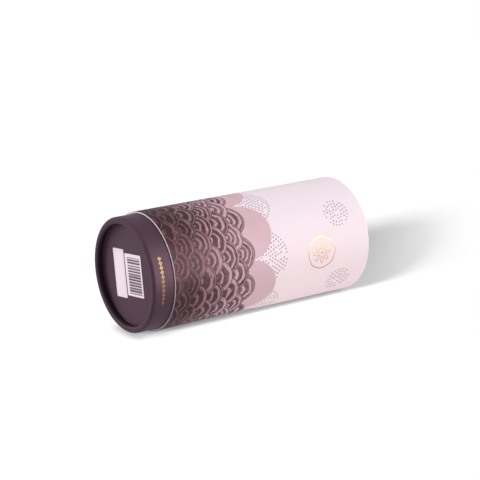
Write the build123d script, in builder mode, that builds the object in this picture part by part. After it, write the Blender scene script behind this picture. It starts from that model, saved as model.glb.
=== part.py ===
from build123d import *
from math import pi
import os

# Cylindrical gift tube of wound paper board: a printed cover slides down over a container
# and leaves the container's dark foot bare. Millimetres, with the axis along +Z.
# The origin is the centre of the base rim, on the surface that the tube stands on.
# The front, where the emblem is printed, faces -Y, and the paper seams are at the back.

# Whole tube
cover_diameter = 88.0
total_height = 191.4
foot_band_height = 17.2  # bare foot of the container, below the cover's mouth
slide_clearance = 0.3  # between cover and container, on the radius

# Papers and boards
wrap_thickness = 0.2
lining_thickness = 0.15
label_thickness = 0.1
cover_board = 0.85
container_board = 1.4
disc_board = 2.0
seam_gap = 0.3  # where the two edges of a wrap meet

# Rims, curled in alike at both ends to hold the end discs
rim_depth = 4.5  # from the rim to the disc
curl_hollow = 2.1  # left between the wall and the leg that is curled in
bend_in_walls = 1.4  # outer radius of the two bends, in wall thicknesses

# Stickers on the base, in a row through its centre that is turned a little
barcode_label_width = 22.4
barcode_label_height = 31.0
blank_label_width = 14.7
blank_label_height = 36.0
label_corner = 0.8
label_gap = 1.3
label_row_shift = 8.3  # from the base's centre to the barcode label's
label_turn = 8.8  # degrees, anticlockwise as seen from below

# Radii, from the outside in
cover_radius = cover_diameter / 2
cover_board_radius = cover_radius - wrap_thickness
cover_core_radius = cover_board_radius - cover_board
cover_bore_radius = cover_core_radius - lining_thickness
container_radius = cover_bore_radius - slide_clearance
container_board_radius = container_radius - wrap_thickness
container_core_radius = container_board_radius - container_board
container_bore_radius = container_core_radius - lining_thickness

# Depths below a rim, of the layers at a closed end
disc_depth = rim_depth + wrap_thickness
disc_back_depth = disc_depth + disc_board
end_depth = disc_back_depth + lining_thickness

# Lengths of the two walls, each from its own rim. The container's mouth stops against
# the paper inside the cover's top.
cover_length = total_height - foot_band_height
container_length = total_height - end_depth

# Section planes through the axis: x is the radius and y the depth below the rim.
# They start at the back, where the seams are.
base_section = Plane(origin=(0, 0, 0), x_dir=(0, 1, 0), z_dir=(1, 0, 0))
top_section = Plane(origin=(0, 0, total_height), x_dir=(0, 1, 0), z_dir=(-1, 0, 0))

# The stickers' plane, as seen from below, with the row running towards the front
label_row = Vector(0, -1, 0).rotate(Axis.Z, -label_turn)
label_plane = Plane(origin=(0, 0, rim_depth), x_dir=label_row, z_dir=(0, 0, -1))


def across_base(depth):
    """Plane across the tube at a depth above the base rim, facing into the tube."""
    return Plane.XY.offset(depth)


def across_top(depth):
    """Plane across the tube at a depth below the top rim, facing into the tube."""
    return Plane(origin=(0, 0, total_height - depth), z_dir=(0, 0, -1))


def curled_layer(face_radius, board, outer_inset, inner_inset, length):
    """Draws one layer of a curled wall in a section, between two insets from its face.

    The bends of all layers share their centres, so that the layers nest, and the inner
    face of the board folds to a crease there."""
    wall = wrap_thickness + board
    bend = bend_in_walls * wall
    leg_radius = face_radius - 2 * wall - curl_hollow
    faces = []
    with BuildLine() as outline:
        for inset in (outer_inset, inner_inset):
            face = FilletPolyline(
                (face_radius - inset, length),
                (face_radius - inset, inset),
                (leg_radius + inset, inset),
                (leg_radius + inset, rim_depth),
                radius=bend - inset if inset < wall else 0,
            )
            faces.append(face)
        Line(faces[0] @ 0, faces[1] @ 0)
        Line(faces[0] @ 1, faces[1] @ 1)
    make_face(outline.edges())


def straight_layer(outer_radius, near, far):
    """Draws a lining inside a wall, between two depths below the rim, in a section."""
    with Locations((outer_radius, near)):
        Rectangle(lining_thickness, far - near, align=(Align.MAX, Align.MIN))


def turn_to_seam(radius):
    """Degrees that a wrap goes round, so that its edges leave the gap of the seam."""
    return 360 * (1 - seam_gap / (2 * pi * radius))


# Cover: board wall, its wrap and its lining
with BuildPart() as cover_tube:
    with BuildSketch(top_section):
        board_back = wrap_thickness + cover_board
        curled_layer(cover_radius, cover_board, wrap_thickness, board_back, cover_length)
    revolve(axis=Axis.Z)

with BuildPart() as cover_wrap:
    with BuildSketch(top_section):
        curled_layer(cover_radius, cover_board, 0, wrap_thickness, cover_length)
    revolve(axis=Axis.Z, revolution_arc=turn_to_seam(cover_radius))

with BuildPart() as cover_lining:
    with BuildSketch(top_section):
        straight_layer(cover_core_radius, disc_back_depth, cover_length)
    revolve(axis=Axis.Z)

# Cover: the disc held in its top, with paper on both faces
with BuildPart() as cover_top_facing:
    with BuildSketch(across_top(rim_depth)):
        Circle(cover_core_radius)
    extrude(amount=wrap_thickness)

with BuildPart() as cover_top_disc:
    with BuildSketch(across_top(disc_depth)):
        Circle(cover_core_radius)
    extrude(amount=disc_board)

with BuildPart() as cover_top_lining:
    with BuildSketch(across_top(disc_back_depth)):
        Circle(cover_bore_radius)
    extrude(amount=lining_thickness)

# Container: board wall, its wrap and its lining
with BuildPart() as container_tube:
    with BuildSketch(base_section):
        board_back = wrap_thickness + container_board
        curled_layer(
            container_radius, container_board, wrap_thickness, board_back, container_length
        )
    revolve(axis=Axis.Z)

with BuildPart() as container_wrap:
    with BuildSketch(base_section):
        curled_layer(container_radius, container_board, 0, wrap_thickness, container_length)
    revolve(axis=Axis.Z, revolution_arc=turn_to_seam(container_radius))

with BuildPart() as container_lining:
    with BuildSketch(base_section):
        straight_layer(container_core_radius, disc_back_depth, container_length)
    revolve(axis=Axis.Z)

# Container: the disc held in its base, with paper on both faces
with BuildPart() as base_facing:
    with BuildSketch(across_base(rim_depth)):
        Circle(container_core_radius)
    extrude(amount=wrap_thickness)

with BuildPart() as base_disc:
    with BuildSketch(across_base(disc_depth)):
        Circle(container_core_radius)
    extrude(amount=disc_board)

with BuildPart() as base_lining:
    with BuildSketch(across_base(disc_back_depth)):
        Circle(container_bore_radius)
    extrude(amount=lining_thickness)

# Stickers on the base
with BuildPart() as barcode_label:
    with BuildSketch(label_plane):
        with Locations((label_row_shift, 0)):
            RectangleRounded(barcode_label_width, barcode_label_height, label_corner)
    extrude(amount=label_thickness)

with BuildPart() as blank_label:
    blank_label_shift = (
        label_row_shift - label_gap - (barcode_label_width + blank_label_width) / 2
    )
    with BuildSketch(label_plane):
        with Locations((blank_label_shift, 0)):
            RectangleRounded(blank_label_width, blank_label_height, label_corner)
    extrude(amount=label_thickness)

pieces = {
    "cover_tube": cover_tube,
    "cover_wrap": cover_wrap,
    "cover_lining": cover_lining,
    "cover_top_facing": cover_top_facing,
    "cover_top_disc": cover_top_disc,
    "cover_top_lining": cover_top_lining,
    "container_tube": container_tube,
    "container_wrap": container_wrap,
    "container_lining": container_lining,
    "base_facing": base_facing,
    "base_disc": base_disc,
    "base_lining": base_lining,
    "barcode_label": barcode_label,
    "blank_label": blank_label,
}

os.makedirs("parts", exist_ok=True)
for name, piece in pieces.items():
    piece.part.label = name
    export_step(piece.part, f"parts/{name}.step")
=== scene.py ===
import math
import bmesh
import bpy
from mathutils import Matrix, Vector


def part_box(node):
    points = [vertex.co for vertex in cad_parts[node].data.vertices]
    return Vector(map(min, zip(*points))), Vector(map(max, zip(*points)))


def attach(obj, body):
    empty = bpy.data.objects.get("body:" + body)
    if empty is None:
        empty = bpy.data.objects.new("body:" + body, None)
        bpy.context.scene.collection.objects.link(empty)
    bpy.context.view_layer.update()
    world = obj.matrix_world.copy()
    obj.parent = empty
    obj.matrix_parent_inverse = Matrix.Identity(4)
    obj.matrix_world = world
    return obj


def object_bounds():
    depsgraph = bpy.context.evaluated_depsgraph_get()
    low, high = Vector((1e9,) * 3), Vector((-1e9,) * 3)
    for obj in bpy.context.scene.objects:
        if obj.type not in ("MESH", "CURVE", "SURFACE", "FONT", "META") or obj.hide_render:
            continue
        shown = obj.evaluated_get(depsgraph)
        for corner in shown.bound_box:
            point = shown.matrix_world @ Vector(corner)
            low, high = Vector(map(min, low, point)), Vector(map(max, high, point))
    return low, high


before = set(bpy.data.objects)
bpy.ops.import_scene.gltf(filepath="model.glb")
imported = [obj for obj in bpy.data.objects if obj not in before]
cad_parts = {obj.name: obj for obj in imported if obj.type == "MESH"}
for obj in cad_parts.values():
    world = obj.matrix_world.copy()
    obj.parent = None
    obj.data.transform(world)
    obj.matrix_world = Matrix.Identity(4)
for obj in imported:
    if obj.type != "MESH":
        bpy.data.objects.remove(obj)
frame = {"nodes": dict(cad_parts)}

# A cylindrical gift tube box, standing on its base along +Z with its front to -Y. The camera
# and the floor are turned so that the tube lies on its side, which is row +X.
cad_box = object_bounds()

# Sizes of the tube, in metres
COVER_RADIUS = 0.044
CONTAINER_RADIUS = 0.0425
COVER_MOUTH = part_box("cover_wrap")[0].z
MILLIMETRES = 1000.0  # in a metre, as patterns are laid out in millimetres

# Colours of the papers and inks, with a painted shade and a painted reflection, as sRGB out of
# 255
PLUM = (70, 51, 63)
# painted shade: the near black of the recess wall inside the curled foot
PAINTED_SHADE_PLUM = (26, 19, 27)
DARK_PRINT = (56, 38, 43)
LATE_PRINT = (96, 64, 72)
DARK_STROKE = (128, 89, 98)
MAUVE = (212, 174, 185)
DUSTY_PINK = (217, 184, 193)
PALE_PINK = (252, 232, 236)
LILAC_PINK = (246, 232, 239)
LAVENDER = (160, 132, 158)
BOARD = (246, 224, 230)
LINING = (240, 237, 233)
STICKER = (219, 203, 212)
INK = (56, 40, 50)
GOLD = (228, 194, 128)
# painted reflection: the darker, copper-toned gold on the side of the foil that faces the
# floor
DARK_REFLECTED_GOLD = (202, 120, 80)

# Gloss of the papers, as specular levels, and the tint of the two wraps' gloss
PRINT_GLOSS = 0.07
PLUM_GLOSS = 0.09
BOARD_GLOSS = 0.2
LINING_GLOSS = 0.3
STICKER_GLOSS = 0.4
GLOSS_TINT = (1.0, 0.56, 0.68, 1.0)

# Full height of their relief, in metres
PRINT_RELIEF = 0.00002
PAPER_RELIEF = 0.00003
BOARD_RELIEF = 0.00008
STICKER_RELIEF = 0.00001
FOIL_RELIEF = 0.00004


def linear(colour):
    """An sRGB colour, out of 255, as the linear RGBA that a shader takes."""
    shares = [c / 255 for c in colour]
    return tuple(
        c / 12.92 if c <= 0.04045 else ((c + 0.055) / 1.055) ** 2.4 for c in shares
    ) + (1.0,)


# Shader nodes, written as sums

RANGE = ("From Min", "From Max", "To Min", "To Max")


class Value:
    """A number, place, colour or shader inside a node tree, with the usual operators."""

    def __init__(self, tree, socket):
        self.tree, self.socket = tree, socket

    def math(self, operation, *others):
        return self.tree.math(operation, self, *others)

    def __add__(self, other):
        return self.math("ADD", other)

    def __sub__(self, other):
        return self.math("SUBTRACT", other)

    def __rsub__(self, other):
        return self.tree.math("SUBTRACT", other, self)

    def __mul__(self, other):
        return self.math("MULTIPLY", other)

    def __truediv__(self, other):
        return self.math("DIVIDE", other)

    __radd__, __rmul__ = __add__, __mul__

    def above(self, edge, soft):
        """0 below the edge and 1 above it, with a smooth step of soft to either side."""
        return self.tree.ramp(self, (edge - soft, edge + soft), (0.0, 1.0), "SMOOTHSTEP")

    def below(self, edge, soft):
        """1 below the edge and 0 above it."""
        return self.tree.ramp(self, (edge - soft, edge + soft), (1.0, 0.0), "SMOOTHSTEP")

    def band(self, middle, half_width, soft):
        """1 within half_width of the middle."""
        return (self - middle).math("ABSOLUTE").below(half_width, soft)


class Tree:
    """The shader nodes of a material or of the world."""

    def __init__(self, owner):
        owner.use_nodes = True
        self.nodes, self.links = owner.node_tree.nodes, owner.node_tree.links

    def node(self, kind):
        return self.nodes.new("ShaderNode" + kind)

    def read(self, kind, output):
        """An output of a node that is fed nothing."""
        return Value(self, self.node(kind).outputs[output])

    def feed(self, socket, value):
        """Links a value to a socket, or sets the socket to a constant."""
        if isinstance(value, Value):
            self.links.new(value.socket, socket)
        else:
            socket.default_value = value

    def gather(self, node, *values):
        """Feeds a node's sockets in their order and gives its first output."""
        for socket, value in zip(node.inputs, values):
            self.feed(socket, value)
        return Value(self, node.outputs[0])

    def math(self, operation, *values):
        node = self.node("Math")
        node.operation = operation
        return self.gather(node, *values)

    def ramp(self, value, places, levels, shape="LINEAR"):
        """Goes from the first level to the second between two places, and stays there."""
        node = self.node("MapRange")
        node.interpolation_type = shape
        self.feed(node.inputs["Value"], value)
        for name, number in zip(RANGE, places + levels):
            node.inputs[name].default_value = number
        return Value(self, node.outputs["Result"])

    def point(self, x, y, z=0.0):
        return self.gather(self.node("CombineXYZ"), x, y, z)

    def split(self, place):
        """The three numbers of a place or direction."""
        node = self.node("SeparateXYZ")
        self.feed(node.inputs[0], place)
        return [Value(self, part) for part in node.outputs]

    def blend(self, share, first, second):
        """A shader between two."""
        return self.gather(self.node("MixShader"), share, first, second)

    def seen_directly(self):
        """1 for what the camera sees, straight or by a reflection or through glass, else 0."""
        camera, glossy, transmission = (
            self.read("LightPath", ray)
            for ray in ("Is Camera Ray", "Is Glossy Ray", "Is Transmission Ray")
        )
        return camera.math("MAXIMUM", glossy).math("MAXIMUM", transmission)


class Sheet(Tree):
    """A material under construction, around one Principled shader."""

    def __init__(self, name):
        self.material = bpy.data.materials.new(name)
        super().__init__(self.material)
        self.shader = self.nodes["Principled BSDF"]

    def scaled(self, vector, amount):
        node = self.node("VectorMath")
        node.operation = "SCALE"
        self.feed(node.inputs[0], vector)
        self.feed(node.inputs["Scale"], amount)
        return Value(self, node.outputs[0])

    def place(self):
        """The piece's own coordinates, in millimetres."""
        return self.scaled(self.read("TexCoord", "Object"), MILLIMETRES)

    def noise(self, place, scale, detail, roughness=0.5):
        node = self.node("TexNoise")
        self.feed(node.inputs["Vector"], place)
        node.inputs["Scale"].default_value = scale
        node.inputs["Detail"].default_value = detail
        node.inputs["Roughness"].default_value = roughness
        return Value(self, node.outputs["Fac"])

    def random(self, first, second):
        """A number from 0 to 1 for each pair of numbers."""
        node = self.node("TexWhiteNoise")
        node.noise_dimensions = "2D"
        self.feed(node.inputs["Vector"], self.point(first, second))
        return Value(self, node.outputs["Value"])

    def mix(self, share, first, second):
        """A colour between two, each a value or an sRGB colour."""
        node = self.node("Mix")
        node.data_type = "RGBA"
        self.feed(node.inputs["Factor"], share)
        for name, colour in (("A", first), ("B", second)):
            socket = [s for s in node.inputs if s.name == name and s.type == "RGBA"][0]
            self.feed(socket, colour if isinstance(colour, Value) else linear(colour))
        return Value(self, [s for s in node.outputs if s.type == "RGBA"][0])

    def shade(self, colour, amount):
        """A value or an sRGB colour, made brighter or darker by a number around 1."""
        return self.scaled(
            colour if isinstance(colour, Value) else linear(colour)[:3], amount
        )

    def bump(self, height, distance):
        """Relief, its full height given in metres."""
        node = self.node("Bump")
        node.inputs["Strength"].default_value = 1.0
        node.inputs["Distance"].default_value = distance
        self.feed(node.inputs["Height"], height)
        self.links.new(node.outputs[0], self.shader.inputs["Normal"])

    def finish(self, colour, roughness, **constants):
        self.feed(self.shader.inputs["Base Color"], colour)
        self.feed(self.shader.inputs["Roughness"], roughness)
        for name, value in constants.items():
            self.shader.inputs[name.replace("_", " ")].default_value = value
        return self.material


# What the materials share, with all their lengths in millimetres

FIBRES = {"scale": 2.2, "detail": 4.0, "roughness": 0.65}
MOTTLE = {"scale": 0.12, "detail": 3.0}
PAPER_ROUGHNESS = 0.46  # at its least


def paper_grain(sheet, place, colour, relief=PAPER_RELIEF, tone=0.05):
    """Fine fibres: a faint change of tone and a shallow relief. Gives colour and roughness."""
    fibres = sheet.noise(place, **FIBRES)
    mottle = sheet.noise(place, **MOTTLE)
    colour = sheet.shade(colour, 1.0 - tone + (fibres + mottle) * tone)
    sheet.bump(fibres, relief)
    return colour, PAPER_ROUGHNESS + fibres * 0.12 + mottle * 0.04


def round_the_tube(x, y, radius):
    """Distance round the tube from its front, growing towards +X."""
    return x.math("ARCTAN2", 0.0 - y) * (radius * MILLIMETRES)


def away(across, up):
    """Distance from the middle."""
    return (across * across + up * up).math("SQRT")


RUB_HEIGHT, RUB_SHARE = 0.9, 0.03  # of the crest of the rim, rubbed a little paler
LEG_RADIUS, LEG_HEIGHT = 37.8, 4.2  # within which the paper curls in to the recess, where its wall gets a painted shade
# share of the painted shade on the recess wall
LEG_PAINTED_SHADE = 0.7


def plum_paper():
    sheet = Sheet("plum_matt_paper")
    place = sheet.place()
    x, y, z = sheet.split(place)
    worn = sheet.noise(place, scale=0.9, detail=3.0).above(0.52, soft=0.1)
    rub = z.below(RUB_HEIGHT, soft=0.8) * worn
    colour = sheet.mix(rub * RUB_SHARE, PLUM, MAUVE)
    # The wall of the recess inside the curled foot is painted darker, as painted shade
    recess_wall_shade = away(x, y).below(LEG_RADIUS, soft=0.5) * z.below(LEG_HEIGHT, soft=0.25)
    colour = sheet.mix(recess_wall_shade * LEG_PAINTED_SHADE, colour, PAINTED_SHADE_PLUM)
    colour, roughness = paper_grain(sheet, place, colour)
    return sheet.finish(
        colour, roughness, Specular_IOR_Level=PLUM_GLOSS, Specular_Tint=GLOSS_TINT
    )


# Printed pattern of the cover: overlapping fans in plum and mauve, then a row of plain
# scallops, a row of scallops made of petals, and rosettes of petals. The middles are given
# round the tube and along it.
AROUND = 2 * math.pi * COVER_RADIUS * MILLIMETRES
FANS_ROUND = 10
FAN_RADIUS = AROUND / FANS_ROUND / 2
FAN_STEP = FAN_RADIUS / 2  # from one row of fans to the next
FAN_START = COVER_MOUTH * MILLIMETRES - FAN_STEP
FAN_LAST = 9  # number of the top row
FAN_SOLID = FAN_START + FAN_LAST * FAN_STEP  # height up to which fans cover all the paper
FAN_TOP = FAN_SOLID + FAN_RADIUS
LATE_HEIGHT, LATE_SOFT = 50.0, 28.0  # where the fans turn from plum to mauve
BRUSH_LEVEL = 1.16  # of the streaks' sum, above which the brush leaves paint
OUTLINE_FROM, OUTLINE_INK = 0.965, 0.85  # places here and below are in fan radii
INNER_LINE, INNER_LINE_HALF, INNER_LINE_INK = 0.925, 0.022, 0.8
SCALLOPS_ROUND = 6
SCALLOP_RADIUS = AROUND / SCALLOPS_ROUND / 2
PLAIN_MIDDLE = (15.4, 82.0)
PETAL_MIDDLE = (-7.6, 94.0)
ROSETTES_ROUND = 5
ROSETTE_MIDDLE = (-30.7, 166.0)
ROSETTE_RADIUS = 13.4
RING_STEP = 2.5  # from one ring of petals to the next
RING_PETALS = 6.0  # more in each ring than in the one inside it
RING_TURN = 0.37  # of a petal, from one ring to the next
PETAL_HALF = 0.5  # half its width, at the least
PETAL_STRETCH = 1.35  # its length over its width
PETAL_INK = 0.85
LEFT_OUT = 0.13  # share of the petals
RING_SEED, DISC_SEED, FAN_SEED = 7.0, 50.0, 31.0  # set the random numbers apart
DRIFT, DRIFT_MIDDLE, DRIFT_SOFT = 20.0, 8.0, 40.0  # of the ground's colour, across the tube


def discs(s, z, pitch, middle):
    """A row of discs: the place inside the nearest one and its number."""
    turn = (s - middle[0]) / pitch + 0.5
    number = turn.math("FLOOR")
    return (turn - number - 0.5) * pitch, z - middle[1], number


def petals(sheet, s, z, pitch, middle, radius):
    """A row of discs made of rings of small petals, with some petals left out."""
    across, up, number = discs(s, z, pitch, middle)
    distance, angle = away(across, up), across.math("ARCTAN2", up)
    ring = (distance / RING_STEP + 0.5).math("FLOOR")
    turn = angle / (2 * math.pi) * (ring * RING_PETALS) + ring * RING_TURN
    petal = turn.math("FLOOR")
    drawn = sheet.random(ring * RING_SEED + number * DISC_SEED, petal)
    size = PETAL_HALF + drawn * 0.14
    outward = (distance - ring * RING_STEP) / (size * PETAL_STRETCH)
    sideways = (turn - petal - 0.5) * (RING_STEP * math.pi / 3) / size
    shape = (outward * outward + sideways * sideways).below(1.0, soft=0.22)
    keep = drawn.above(LEFT_OUT, soft=0.005) * ring.above(0.5, soft=0.1)
    return shape * keep * (ring * RING_STEP).below(radius - RING_STEP * 0.4, soft=0.05)


def fans(sheet, s, z):
    """Overlapping fans of brushed arcs. Gives their colour and the mask of the zone."""
    level = ((z - FAN_START) / FAN_STEP).math("FLOOR")
    found = []
    for lift in (-1.0, 0.0):
        row = level + lift
        shift = row.math("PINGPONG", 1.0) * FAN_RADIUS
        across, up, number = discs(
            s + shift, z - row * FAN_STEP, 2 * FAN_RADIUS, (0.0, FAN_START)
        )
        distance = away(across, up) / FAN_RADIUS
        drawn = distance.below(1.0, soft=0.006) * row.math("LESS_THAN", FAN_LAST + 0.5)
        found.append((drawn, distance, across, up, row, number))
    (front, *nearer), (behind, *farther) = found
    distance, across, up, row, number = [
        n * front + f * (1.0 - front) for n, f in zip(nearer, farther)
    ]
    zone = z.math("LESS_THAN", FAN_SOLID).math("MAXIMUM", front.math("MAXIMUM", behind))

    # Two random numbers for each fan, and how far it has turned to mauve
    row, number = row.math("ROUND"), number.math("ROUND")
    pick = sheet.random(row, number)
    other = sheet.random(row + FAN_SEED, number)
    late = z.above(LATE_HEIGHT, LATE_SOFT)

    # Dry brush: streaks that follow the arcs and break up along them
    ring = distance + sheet.noise(sheet.point(s, z), scale=0.16, detail=3.0) * 0.3
    angle = across.math("ARCTAN2", up + 0.4)

    def streaks(rings, breaks, detail, roughness):
        place = sheet.point(ring * rings, angle * breaks, pick * 40.0)
        return sheet.noise(place, 1.0, detail, roughness)

    coarse = streaks(rings=30.0, breaks=1.3, detail=3.0, roughness=0.7)
    fine = streaks(rings=95.0, breaks=2.6, detail=2.0, roughness=0.6)
    broad = (ring * (1.4 + other * 2.4) + other).math("PINGPONG", 0.5).above(0.3, soft=0.12)
    strokes = coarse + fine * 0.8 + broad * 0.22 + late * 0.16 + pick * 0.1
    strokes = strokes.above(BRUSH_LEVEL, soft=0.09) * (0.45 + broad * 0.55)

    dark = sheet.mix(late * (0.35 + pick * 0.65), DARK_PRINT, LATE_PRINT)
    light = sheet.mix(late, DARK_STROKE, MAUVE)
    colour = sheet.mix(strokes, dark, light)
    outline = distance.above(OUTLINE_FROM, soft=0.02)
    colour = sheet.mix(outline * OUTLINE_INK, colour, DARK_PRINT)
    line = distance.band(INNER_LINE, INNER_LINE_HALF, soft=0.012)
    line = line * fine.above(0.4, soft=0.1)
    return sheet.mix(line * INNER_LINE_INK, colour, light), zone


def printed_paper():
    sheet = Sheet("printed_cover_paper")
    place = sheet.place()
    x, y, z = sheet.split(place)
    s = round_the_tube(x, y, COVER_RADIUS)

    # Pale ground that drifts from lilac to a warmer pink across the tube
    drift = sheet.noise(place, scale=0.016, detail=2.0) * DRIFT + x
    colour = sheet.mix(drift.above(DRIFT_MIDDLE, DRIFT_SOFT), LILAC_PINK, PALE_PINK)

    rosettes = petals(sheet, s, z, AROUND / ROSETTES_ROUND, ROSETTE_MIDDLE, ROSETTE_RADIUS)
    scallops = petals(sheet, s, z, 2 * SCALLOP_RADIUS, PETAL_MIDDLE, SCALLOP_RADIUS)
    colour = sheet.mix(rosettes.math("MAXIMUM", scallops) * PETAL_INK, colour, LAVENDER)

    across, up, _ = discs(s, z, 2 * SCALLOP_RADIUS, PLAIN_MIDDLE)
    plain = away(across, up).below(SCALLOP_RADIUS, soft=0.12)
    plain = (plain + z.math("LESS_THAN", PLAIN_MIDDLE[1])).math("MINIMUM", 1.0)
    wash = sheet.noise(place, scale=0.07, detail=3.0, roughness=0.6)
    colour = sheet.mix(plain, colour, sheet.shade(DUSTY_PINK, 0.9 + wash * 0.2))

    drawn, zone = fans(sheet, s, z)
    colour = sheet.mix(zone, colour, drawn)
    colour, roughness = paper_grain(sheet, place, colour, PRINT_RELIEF, tone=0.02)
    return sheet.finish(
        colour, roughness, Specular_IOR_Level=PRINT_GLOSS, Specular_Tint=GLOSS_TINT
    )


BOARD_ROUGHNESS = 0.85
SEAM_HALF, SEAM_INK = 0.42, 0.97  # of the stain at the back, wider than the seams are
STAIN_TURN = FAN_TOP * 0.96  # height up to which the stain is plum, and above it pale


def board():
    """Raw wound board, stained by the wraps' ink where it shows in their seams."""
    sheet = Sheet("grey_board")
    x, y, z = sheet.split(sheet.place())
    layered = sheet.point(x * 3.0, y * 3.0, z * 0.2)
    layers = sheet.noise(layered, scale=1.1, detail=4.0, roughness=0.6)
    colour = sheet.shade(BOARD, 0.9 + layers * 0.2)
    seam = x.math("ABSOLUTE").below(SEAM_HALF, soft=0.02) * y.above(0.0, soft=0.1)
    stain = sheet.mix(z.above(STAIN_TURN, soft=0.5), PLUM, PALE_PINK)
    colour = sheet.mix(seam * SEAM_INK, colour, stain)
    sheet.bump(layers, BOARD_RELIEF)
    return sheet.finish(colour, BOARD_ROUGHNESS, Specular_IOR_Level=BOARD_GLOSS)


STRIP_SLOPE = 0.62  # of the wound strip, as its rise for each millimetre round the tube
STRIP_HALF = 41.4  # half its width, along the tube
STRIP_SEAM, STRIP_SHADE = 0.25, 0.5  # half the seam's width, and how far it darkens


def lining():
    """White paper, wound from a strip that leaves a fine spiral seam."""
    sheet = Sheet("white_lining")
    place = sheet.place()
    x, y, z = sheet.split(place)
    wound = round_the_tube(x, y, CONTAINER_RADIUS) * STRIP_SLOPE + z
    seam = wound.math("PINGPONG", STRIP_HALF).below(STRIP_SEAM, soft=0.15)
    colour = sheet.mix(seam * STRIP_SHADE, LINING, BOARD)
    colour, roughness = paper_grain(sheet, place, colour)
    return sheet.finish(colour, roughness + 0.2, Specular_IOR_Level=LINING_GLOSS)


# The stickers' print, along the row of stickers and across it
ROW_DIRECTION = (-0.153, -0.988)
BAR_PITCH = 2.07  # of the cells, each with a broad bar and a thin one close beside it
BARS_ALONG = (0.4, 17.6)
BARS_ACROSS = (-13.9, 13.0)
BROAD_START, BROAD_LEAST, BROAD_SPREAD = 0.04, 0.32, 0.38  # in pitches
THIN_GAP, THIN_HALF = 0.17, 0.06  # in pitches
BLANK_MIDDLE = -11.55
BLANK_HALF = (7.35, 18.0)
FRAME_INSET = 1.3
FRAME_LINE, FRAME_INK = 0.12, 0.3  # half the line's width, and how strong it is


def sticker():
    """Coated label paper with random bars on one sticker and a faint frame on the other."""
    sheet = Sheet("sticker_paper")
    place = sheet.place()
    x, y, _ = sheet.split(place)
    along = x * ROW_DIRECTION[0] + y * ROW_DIRECTION[1]
    across = x * ROW_DIRECTION[1] - y * ROW_DIRECTION[0]

    turn = across / BAR_PITCH
    cell = turn.math("FLOOR")
    width = sheet.random(cell, 8.0) * BROAD_SPREAD + BROAD_LEAST
    broad = (turn - cell - width * 0.5 - BROAD_START).math("ABSOLUTE") - width * 0.5
    thin = (turn - cell - width - THIN_GAP).math("ABSOLUTE") - THIN_HALF
    bars = broad.math("MINIMUM", thin).below(0.0, soft=0.03)
    for value, (low, high) in ((along, BARS_ALONG), (across, BARS_ACROSS)):
        bars = bars * value.band((low + high) / 2, (high - low) / 2, soft=0.06)
    spread = sheet.noise(place, scale=3.0, detail=3.0)
    colour = sheet.mix(bars * (0.86 + spread * 0.28), STICKER, INK)

    beyond = (along - BLANK_MIDDLE).math("ABSOLUTE") - BLANK_HALF[0]
    beyond = beyond.math("MAXIMUM", across.math("ABSOLUTE") - BLANK_HALF[1])
    line = beyond.band(-FRAME_INSET, FRAME_LINE, soft=0.05)
    colour = sheet.mix(line * FRAME_INK, colour, LAVENDER)
    colour, roughness = paper_grain(sheet, place, colour, STICKER_RELIEF, tone=0.02)
    return sheet.finish(colour, roughness - 0.1, Specular_IOR_Level=STICKER_GLOSS)


REFLECTION_TURN, REFLECTION_SOFT = 1.0, 14.0  # across the tube, where the painted reflection turns the gold to a copper tone
FOIL_ROUGHNESS = 0.26  # at its least


def foil():
    """Hot foil with a painted reflection: yellow gold towards row -X, up as staged, and a
    darker copper tone towards +X, the side that faces the floor.
    """
    sheet = Sheet("gold_foil")
    place = sheet.place()
    crinkle = sheet.noise(place, scale=1.4, detail=4.0, roughness=0.6)
    # painted reflection: the gold darkens to a copper tone towards +X
    turned = sheet.split(place)[0].above(REFLECTION_TURN, REFLECTION_SOFT)
    colour = sheet.mix(turned, GOLD, DARK_REFLECTED_GOLD)
    colour = sheet.shade(colour, 0.85 + crinkle * 0.2)
    sheet.bump(crinkle, FOIL_RELIEF)
    return sheet.finish(colour, FOIL_ROUGHNESS + crinkle * 0.14, Metallic=1.0)


DRESS = {
    plum_paper: ("container_wrap", "base_facing"),
    board: ("cover_tube", "cover_top_disc", "container_tube", "base_disc"),
    lining: ("cover_lining", "cover_top_lining", "container_lining", "base_lining"),
    printed_paper: ("cover_wrap", "cover_top_facing"),
    sticker: ("barcode_label", "blank_label"),
}
for make_material, nodes in DRESS.items():
    material = make_material()
    for node in nodes:
        for slot in frame["nodes"][node].material_slots:
            slot.material = material

# Foil pieces, drawn as closed loops in millimetres round the tube and along it

FOIL_LIFT, FOIL_DEPTH = 0.000004, 0.00003  # in metres, proud of the paper and into it


def turns(count):
    """Angles that share a full circle equally."""
    return [2 * math.pi * i / count for i in range(count)]


def loop(middle, radius_at, count):
    """A closed path round a middle, its radius given for each angle."""
    path = []
    for turn in turns(count):
        radius = radius_at(turn)
        path.append((middle[0] + radius * math.sin(turn), middle[1] + radius * math.cos(turn)))
    return path


def neighbours(items):
    """Each item of a closed path with the next one."""
    return zip(items, items[1:] + items[:1])


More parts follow.
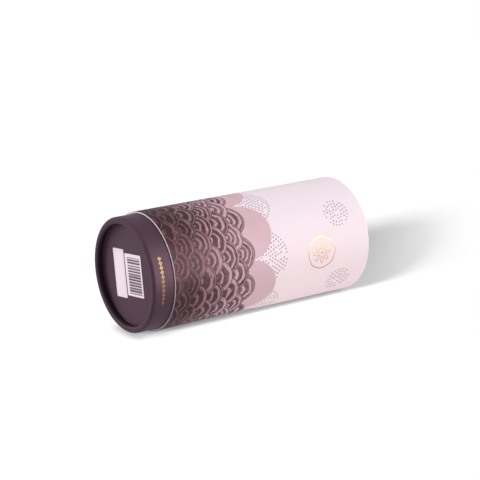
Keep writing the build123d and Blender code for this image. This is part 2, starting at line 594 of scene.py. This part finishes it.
class Foil:
    """One mesh of thin closed strips and spots on a cylinder."""

    def __init__(self, radius):
        self.radius, self.points, self.faces = radius, [], []

    def skin(self, point):
        """Two vertices, at the foil's outer and inner face, kept inside the model's box."""
        turn, height = point[0] / MILLIMETRES / self.radius, point[1] / MILLIMETRES
        for lift in (FOIL_LIFT, -FOIL_DEPTH):
            radius = self.radius + lift
            place = (radius * math.sin(turn), -radius * math.cos(turn), height)
            self.points.append(
                tuple(min(max(v, low), high) for v, low, high in zip(place, *cad_box))
            )
        return len(self.points) - 2

    def strip(self, path, width):
        """A closed loop with a constant width."""
        pairs = []
        for before, (s, z), after in zip(path[-1:] + path[:-1], path, path[1:] + path[:1]):
            along = Vector((after[0] - before[0], after[1] - before[1])).normalized()
            side = Vector((-along.y, along.x)) * (width / 2)
            left, right = (s + side.x, z + side.y), (s - side.x, z - side.y)
            pairs.append((self.skin(left), self.skin(right)))
        for (a, b), (c, d) in neighbours(pairs):
            self.faces += [(a, c, d, b), (a + 1, b + 1, d + 1, c + 1)]
            self.faces += [(a, a + 1, c + 1, c), (b, d, d + 1, b + 1)]

    def spot(self, middle, radius, count):
        """A filled circle, as a fan round its middle."""
        centre = self.skin(middle)
        edge = [self.skin(point) for point in loop(middle, lambda turn: radius, count)]
        for a, b in neighbours(edge):
            self.faces += [(centre, a, b), (centre + 1, b + 1, a + 1), (a, a + 1, b + 1, b)]

    def make(self, name, body, material):
        mesh = bpy.data.meshes.new(name)
        mesh.from_pydata(self.points, [], self.faces)
        shape = bmesh.new()
        shape.from_mesh(mesh)
        bmesh.ops.recalc_face_normals(shape, faces=shape.faces)
        shape.to_mesh(mesh)
        shape.free()
        mesh.materials.append(material)
        piece = bpy.data.objects.new(name, mesh)
        bpy.context.collection.objects.link(piece)
        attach(piece, body)


EMBLEM_MIDDLE = (-2.7, 146.0)
EMBLEM_RADIUS = 11.8
EMBLEM_LOBES = 8
EMBLEM_LINE = 0.75
EMBLEM_POINTS = 160
LOBE_DEPTH = 0.45
PETAL_REACH = 5.3  # from the emblem's middle to a petal's
OPEN_PETAL = (2.5, 1.15)  # half its length and half its width
PETAL_LINE = EMBLEM_LINE * 0.7
PETAL_POINTS = 36
HEART_RADIUS, HEART_POINTS = 1.0, 20


def lobed_radius(turn):
    return EMBLEM_RADIUS + LOBE_DEPTH * abs(math.cos(EMBLEM_LOBES / 2 * turn))


def emblem(material):
    """An eight-lobed ring round a flower of eight open petals."""
    drawing = Foil(COVER_RADIUS)
    drawing.strip(loop(EMBLEM_MIDDLE, lobed_radius, EMBLEM_POINTS), EMBLEM_LINE)
    for turn in turns(EMBLEM_LOBES):
        out, side = (math.sin(turn), math.cos(turn)), (math.cos(turn), -math.sin(turn))
        petal = []
        for angle in turns(PETAL_POINTS):
            along = PETAL_REACH + OPEN_PETAL[0] * math.cos(angle)
            across = OPEN_PETAL[1] * math.sin(angle)
            petal.append(
                tuple(m + along * o + across * c for m, o, c in zip(EMBLEM_MIDDLE, out, side))
            )
        drawing.strip(petal, PETAL_LINE)
    drawing.spot(EMBLEM_MIDDLE, HEART_RADIUS, HEART_POINTS)
    drawing.make("emblem_foil", "cover", material)


BORDER_HEIGHT = 8.0
BORDER_TURNS = (-31.7, 17.0)  # degrees round the tube from its front
BORDER_PITCH = 3.3
BORDER_LINE = 0.3
LOZENGE_HALF = (0.95, 1.2)
CORNERS = [(0, 1), (1, 0), (0, -1), (-1, 0)]
SIDE_SHARES = (0.0, 0.34, 0.67)  # of a side, where its points are
DOT_RADIUS, DOT_POINTS = 0.25, 12


def border(material):
    """A row of open lozenges with dots between them, along the container's foot."""
    drawing = Foil(CONTAINER_RADIUS)
    reach = CONTAINER_RADIUS * MILLIMETRES
    start, end = (math.radians(turn) * reach for turn in BORDER_TURNS)
    count = round((end - start) / BORDER_PITCH)
    for i in range(count):
        s = start + (i + 0.5) * (end - start) / count
        path = []
        for (a, b), (c, d) in neighbours(CORNERS):
            for share in SIDE_SHARES:
                path.append((
                    s + LOZENGE_HALF[0] * (a + (c - a) * share),
                    BORDER_HEIGHT + LOZENGE_HALF[1] * (b + (d - b) * share),
                ))
        drawing.strip(path, BORDER_LINE)
        if i:
            between = s - (end - start) / count / 2
            drawing.spot((between, BORDER_HEIGHT), DOT_RADIUS, DOT_POINTS)
    drawing.make("border_foil", "container", material)


gold = foil()
emblem(gold)
border(gold)

# Camera: at the photograph's viewing angle, rolled so that row -X is up
SENSOR_WIDTH = 36.0
FOCAL_LENGTH = 120.87
CAMERA_PLACE = Vector((-0.36199, -0.95364, -0.55396))
CAMERA_RIGHT = Vector((0.0, -0.56673, 0.82390))
CAMERA_UP = Vector((-0.95653, 0.24027, 0.16528))

camera = bpy.data.objects.new("camera", bpy.data.cameras.new("camera"))
camera.data.lens = FOCAL_LENGTH
camera.data.sensor_width = SENSOR_WIDTH
right = CAMERA_RIGHT.normalized()
upward = (CAMERA_UP - right * CAMERA_UP.dot(right)).normalized()
backward = right.cross(upward)
turned = Matrix((right, upward, backward)).transposed().to_4x4()
camera.matrix_world = Matrix.Translation(CAMERA_PLACE) @ turned
bpy.context.collection.objects.link(camera)
bpy.context.scene.camera = camera

# Stage: a pale floor that touches the tube's side at row +X. It shows from its upper side
# only, so that views from below look through it.
FLOOR_X = COVER_RADIUS + 0.0001
FLOOR_REACH = 6.0
FLOOR_TONE = 0.385  # as it is seen
FLOOR_BOUNCE = 0.25  # as it lights the tube
FLOOR_WHITE = 0.31  # share of plain white where it is seen, which keeps the shadows light
FADE_PLACES = (0.205, 0.345)  # beyond the tube's end, between which the long shadow fades out
FADE_SLANT = -0.9  # how far these places move for each metre towards the back
CONTACT_REACH = 0.006  # of the shade where the tube touches the floor
CONTACT_PLACES = (-0.005, 0.05)  # along the tube, between which that shade fades out
CONTACT_DEPTH = (1.0, 0.0)  # share of the light that it takes at those places


def floor_material():
    """A matt floor that is paler as it is seen than as it lights the tube."""
    material = bpy.data.materials.new("pale_floor")
    tree = Tree(material)
    tree.nodes.clear()
    _, y, z = tree.split(tree.read("NewGeometry", "Position"))
    seen = tree.seen_directly()

    contact = tree.node("AmbientOcclusion")
    contact.inputs["Distance"].default_value = CONTACT_REACH
    nearness = 1.0 - Value(tree, contact.outputs["AO"])
    shade = nearness * tree.ramp(z, CONTACT_PLACES, CONTACT_DEPTH)
    tone = seen * (FLOOR_TONE - FLOOR_BOUNCE) + FLOOR_BOUNCE
    matt = tree.gather(tree.node("BsdfDiffuse"), tone * (1.0 - shade))

    fade = tree.ramp(y * FADE_SLANT + z, FADE_PLACES, (FLOOR_WHITE, 1.0))
    upper = tree.blend(fade * seen, matt, tree.read("Emission", "Emission"))
    clear = tree.read("BsdfTransparent", "BSDF")
    surface = tree.blend(tree.read("NewGeometry", "Backfacing"), upper, clear)
    tree.feed(tree.node("OutputMaterial").inputs["Surface"], surface)
    return material


floor_mesh = bpy.data.meshes.new("floor")
floor_corners = [
    (FLOOR_X, y * FLOOR_REACH, z * FLOOR_REACH)
    for y, z in ((-1, -1), (-1, 1), (1, 1), (1, -1))
]
floor_mesh.from_pydata(floor_corners, [], [(0, 1, 2, 3)])
floor_mesh.materials.append(floor_material())
floor = bpy.data.objects.new("floor", floor_mesh)
bpy.context.collection.objects.link(floor)
floor.visible_shadow = False

# Lamps, each with its direction, its strength on a surface that faces it, its width in
# degrees and the group of pieces that it lights alone. The softbox lights everything. The
# fills lift the papers, the recessed base, the rim and the cover's mouth. The sheens are a
# tall strip that shows only as a gloss on the wraps. The floor lamps lay the long shadow.
LAMPS = {
    "front_softbox": ((-0.348, -0.809, 0.478), 0.345, 45, None),
    "paper_fill": ((-0.97, 0.05, 0.10), 0.24, 50, "papers"),
    "base_fill": ((-0.25, 0.86, -0.43), 1.85, 30, "recess"),
    "rim_fill": ((-0.3, 0.55, -0.78), 0.72, 30, "rim"),
    "mouth_fill": ((-0.35, 0.07, -0.93), 0.65, 20, "mouth"),
    "sheen_upper": ((-0.62, -0.63, 0.478), 1.8, 22, "wraps"),
    "sheen_middle": ((-0.348, -0.809, 0.478), 1.5, 22, "wraps"),
    "sheen_lower": ((-0.02, -0.88, 0.478), 3.2, 22, "wraps"),
    "low_floor_lamp": ((-0.36, -0.43, -0.83), 3.7, 9, "only_floor"),
    "lower_floor_lamp": ((-0.22, -0.26, -0.94), 4.6, 9, "only_floor"),
}
WITHOUT_GLOSS = ("base_fill", "mouth_fill")  # lamps that add no gloss
GROUPS = {
    "papers": tuple(frame["nodes"]),
    "wraps": ("cover_wrap", "container_wrap"),
    "recess": ("base_facing", "barcode_label", "blank_label"),
    "rim": ("container_wrap",),
    "mouth": ("cover_tube", "cover_lining"),
    "only_floor": ("floor",),
}

pieces = {**frame["nodes"], "floor": floor}
groups = {}
for name, members in GROUPS.items():
    groups[name] = bpy.data.collections.new(name)
    for member in members:
        groups[name].objects.link(pieces[member])
for name, (direction, strength, width, group) in LAMPS.items():
    lamp = bpy.data.objects.new(name, bpy.data.lights.new(name, "SUN"))
    lamp.data.energy = strength * math.pi
    lamp.data.angle = math.radians(width)
    lamp.rotation_mode = "QUATERNION"
    lamp.rotation_quaternion = Vector(direction).to_track_quat("Z", "Y")
    bpy.context.collection.objects.link(lamp)
    lamp.visible_diffuse = not name.startswith("sheen")
    lamp.visible_glossy = name not in WITHOUT_GLOSS
    if group:
        lamp.light_linking.receiver_collection = groups[group]

# World: white where it is seen, and graded along the tube's axis where it only lights
SURROUND_TURN = (-0.35, 0.1)  # heights of a direction between which the light changes
SURROUND = (0.08, 0.82)  # light from beyond the base, and from the sides and beyond the top
WHITE = (1.0, 1.0, 1.0, 1.0)

world = bpy.data.worlds.new("surround")
bpy.context.scene.world = world
sky = Tree(world)
height = sky.split(sky.read("TexCoord", "Generated"))[2]
light = sky.ramp(height, SURROUND_TURN, SURROUND)
sky.gather(sky.nodes["Background"], WHITE, light + sky.seen_directly() * (1.0 - light))

bpy.context.scene.view_settings.view_transform = "Standard"
